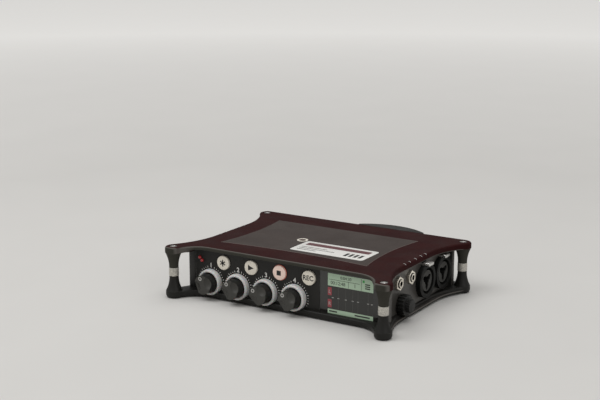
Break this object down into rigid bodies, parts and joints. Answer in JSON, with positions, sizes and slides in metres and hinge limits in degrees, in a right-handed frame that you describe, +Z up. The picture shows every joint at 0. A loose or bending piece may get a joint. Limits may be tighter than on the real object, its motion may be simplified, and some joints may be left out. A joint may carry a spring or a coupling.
{
  "type": "portable field recorder",
  "caption": "Low portable audio recorder with corner posts, front knobs, keys and screen, side sockets and a rear battery sled; knobs, keys, tabs, sled and card move.",
  "frame": {"origin": "on the resting plane, under the middle of the outline with the battery sled fitted", "axes": "+X right along the front as the user sees it, +Y to the rear, +Z up"},
  "size_m": [0.18, 0.1428, 0.0378],
  "materials": {
    "top_shell": "fine textured maroon-black",
    "bottom_shell": "fine textured black",
    "sleeve_metal": "bead blasted",
    "screw_steel": "satin",
    "pad_rubber": "matt textured",
    "label_film": "satin film",
    "panel_paint": "matt black paint",
    "ring_plastic": "satin translucent",
    "knob_plastic": "soft touch",
    "shaft_steel": "turned",
    "part_plastic": "moulded",
    "key_plastic": "satin",
    "key_lit": "lit from behind",
    "light_red": "clear red",
    "board": "solder mask",
    "cover_glass": "clear hard coat",
    "screen": "lit display",
    "socket_plastic": "moulded black",
    "core_plastic": "moulded grey black",
    "tab_metal": "polished",
    "nut_brass": "turned",
    "port_steel": "stamped",
    "slider_plastic": "moulded",
    "card_plastic": "moulded",
    "cell_jacket": "printed sleeve; stands in for a filled cell"
  },
  "bodies": {
    "chassis": {"top_cover": "top_shell", "bottom_cover": "bottom_shell", "post_sleeves": "sleeve_metal", "corner_screws": "screw_steel", "grip_pad": "pad_rubber", "asset_label": "label_film", "top_thread_insert": "screw_steel", "bottom_thread_insert": "screw_steel", "front_panel": "panel_paint", "light_rings": "ring_plastic", "channel_pots": "part_plastic", "key_switches": "part_plastic", "status_lights": "light_red", "front_board": "board", "display_glass": "cover_glass", "display_module": "screen", "right_panel": "panel_paint", "left_panel": "panel_paint", "rear_panel": "panel_paint", "combo_shells": "socket_plastic", "combo_cores": "core_plastic", "small_jacks": "socket_plastic", "jack_nuts": "nut_brass", "headphone_encoder": "part_plastic", "data_ports": "port_steel", "power_switch": "part_plastic", "main_board": "board", "board_posts": "nut_brass", "board_screws": "screw_steel", "card_socket": "port_steel"},
    "channel_1_plunger": {"knob_plunger_1": "part_plastic"},
    "channel_1_knob": {"knob_1": "knob_plastic", "knob_shaft_1": "shaft_steel"},
    "channel_2_plunger": {"knob_plunger_2": "part_plastic"},
    "channel_2_knob": {"knob_2": "knob_plastic", "knob_shaft_2": "shaft_steel"},
    "channel_3_plunger": {"knob_plunger_3": "part_plastic"},
    "channel_3_knob": {"knob_3": "knob_plastic", "knob_shaft_3": "shaft_steel"},
    "channel_4_plunger": {"knob_plunger_4": "part_plastic"},
    "channel_4_knob": {"knob_4": "knob_plastic", "knob_shaft_4": "shaft_steel"},
    "star_key": {"key_star": "key_plastic"},
    "play_key": {"key_play": "key_plastic"},
    "stop_key": {"key_stop": "key_lit"},
    "record_key": {"key_record": "key_plastic"},
    "socket_1_tab": {"release_tab_1": "tab_metal"},
    "socket_2_tab": {"release_tab_2": "tab_metal"},
    "socket_3_tab": {"release_tab_3": "tab_metal"},
    "socket_4_tab": {"release_tab_4": "tab_metal"},
    "headphone_push_rod": {"headphone_plunger": "part_plastic"},
    "headphone_dial": {"headphone_knob": "knob_plastic", "headphone_shaft": "shaft_steel"},
    "power_slide": {"power_slider": "slider_plastic"},
    "sled": {"battery_sled": "bottom_shell", "battery_cells": "cell_jacket", "sled_contacts": "port_steel"},
    "sled_button": {"sled_latch": "slider_plastic"},
    "card": {"memory_card": "card_plastic"}
  },
  "joints": [
    {"name": "channel_1_push", "type": "slide", "parent": "chassis", "child": "channel_1_plunger", "axis": [0, 1, 0], "range_m": [0, 0.0005], "stiffness_N_per_m": 900, "springref_m": -0.0005},
    {"name": "channel_1_turn", "type": "hinge", "parent": "channel_1_plunger", "child": "channel_1_knob", "pos_m": [-0.0608, -0.0526, 0.0116], "axis": [0, 1, 0], "range_deg": [-113, 157]},
    {"name": "channel_2_push", "type": "slide", "parent": "chassis", "child": "channel_2_plunger", "axis": [0, 1, 0], "range_m": [0, 0.0005], "stiffness_N_per_m": 900, "springref_m": -0.0005},
    {"name": "channel_2_turn", "type": "hinge", "parent": "channel_2_plunger", "child": "channel_2_knob", "pos_m": [-0.03753, -0.0526, 0.0116], "axis": [0, 1, 0], "range_deg": [-103, 167]},
    {"name": "channel_3_push", "type": "slide", "parent": "chassis", "child": "channel_3_plunger", "axis": [0, 1, 0], "range_m": [0, 0.0005], "stiffness_N_per_m": 900, "springref_m": -0.0005},
    {"name": "channel_3_turn", "type": "hinge", "parent": "channel_3_plunger", "child": "channel_3_knob", "pos_m": [-0.01426, -0.0526, 0.0116], "axis": [0, 1, 0], "range_deg": [-85, 185]},
    {"name": "channel_4_push", "type": "slide", "parent": "chassis", "child": "channel_4_plunger", "axis": [0, 1, 0], "range_m": [0, 0.0005], "stiffness_N_per_m": 900, "springref_m": -0.0005},
    {"name": "channel_4_turn", "type": "hinge", "parent": "channel_4_plunger", "child": "channel_4_knob", "pos_m": [0.00901, -0.0526, 0.0116], "axis": [0, 1, 0], "range_deg": [-97, 173]},
    {"name": "star_press", "type": "slide", "parent": "chassis", "child": "star_key", "axis": [0, 1, 0], "range_m": [0, 0.0006], "stiffness_N_per_m": 700, "springref_m": -0.0005},
    {"name": "play_press", "type": "slide", "parent": "chassis", "child": "play_key", "axis": [0, 1, 0], "range_m": [0, 0.0006], "stiffness_N_per_m": 700, "springref_m": -0.0005},
    {"name": "stop_press", "type": "slide", "parent": "chassis", "child": "stop_key", "axis": [0, 1, 0], "range_m": [0, 0.0006], "stiffness_N_per_m": 700, "springref_m": -0.0005},
    {"name": "record_press", "type": "slide", "parent": "chassis", "child": "record_key", "axis": [0, 1, 0], "range_m": [0, 0.0006], "stiffness_N_per_m": 700, "springref_m": -0.0005},
    {"name": "socket_1_release", "type": "slide", "parent": "chassis", "child": "socket_1_tab", "axis": [1, 0, 0], "range_m": [0, 0.001], "stiffness_N_per_m": 600, "springref_m": -0.0005},
    {"name": "socket_2_release", "type": "slide", "parent": "chassis", "child": "socket_2_tab", "axis": [1, 0, 0], "range_m": [0, 0.001], "stiffness_N_per_m": 600, "springref_m": -0.0005},
    {"name": "socket_3_release", "type": "slide", "parent": "chassis", "child": "socket_3_tab", "axis": [-1, 0, 0], "range_m": [0, 0.001], "stiffness_N_per_m": 600, "springref_m": -0.0005},
    {"name": "socket_4_release", "type": "slide", "parent": "chassis", "child": "socket_4_tab", "axis": [-1, 0, 0], "range_m": [0, 0.001], "stiffness_N_per_m": 600, "springref_m": -0.0005},
    {"name": "headphone_push", "type": "slide", "parent": "chassis", "child": "headphone_push_rod", "axis": [-1, 0, 0], "range_m": [0, 0.0005], "stiffness_N_per_m": 900, "springref_m": -0.0005},
    {"name": "headphone_turn", "type": "hinge", "parent": "headphone_push_rod", "child": "headphone_dial", "pos_m": [0.0765, -0.0256, 0.0106], "axis": [-1, 0, 0], "continuous": true},
    {"name": "power_slide_travel", "type": "slide", "parent": "chassis", "child": "power_slide", "axis": [0, 1, 0], "range_m": [0, 0.0065]},
    {"name": "sled_pull", "type": "slide", "parent": "chassis", "child": "sled", "axis": [0, 1, 0], "range_m": [0, 0.04]},
    {"name": "sled_latch_press", "type": "slide", "parent": "sled", "child": "sled_button", "axis": [0, -1, 0], "range_m": [0, 0.001], "stiffness_N_per_m": 600, "springref_m": -0.0005},
    {"name": "card_pull", "type": "slide", "parent": "chassis", "child": "card", "axis": [0, 1, 0], "range_m": [0, 0.032]}
  ]
}
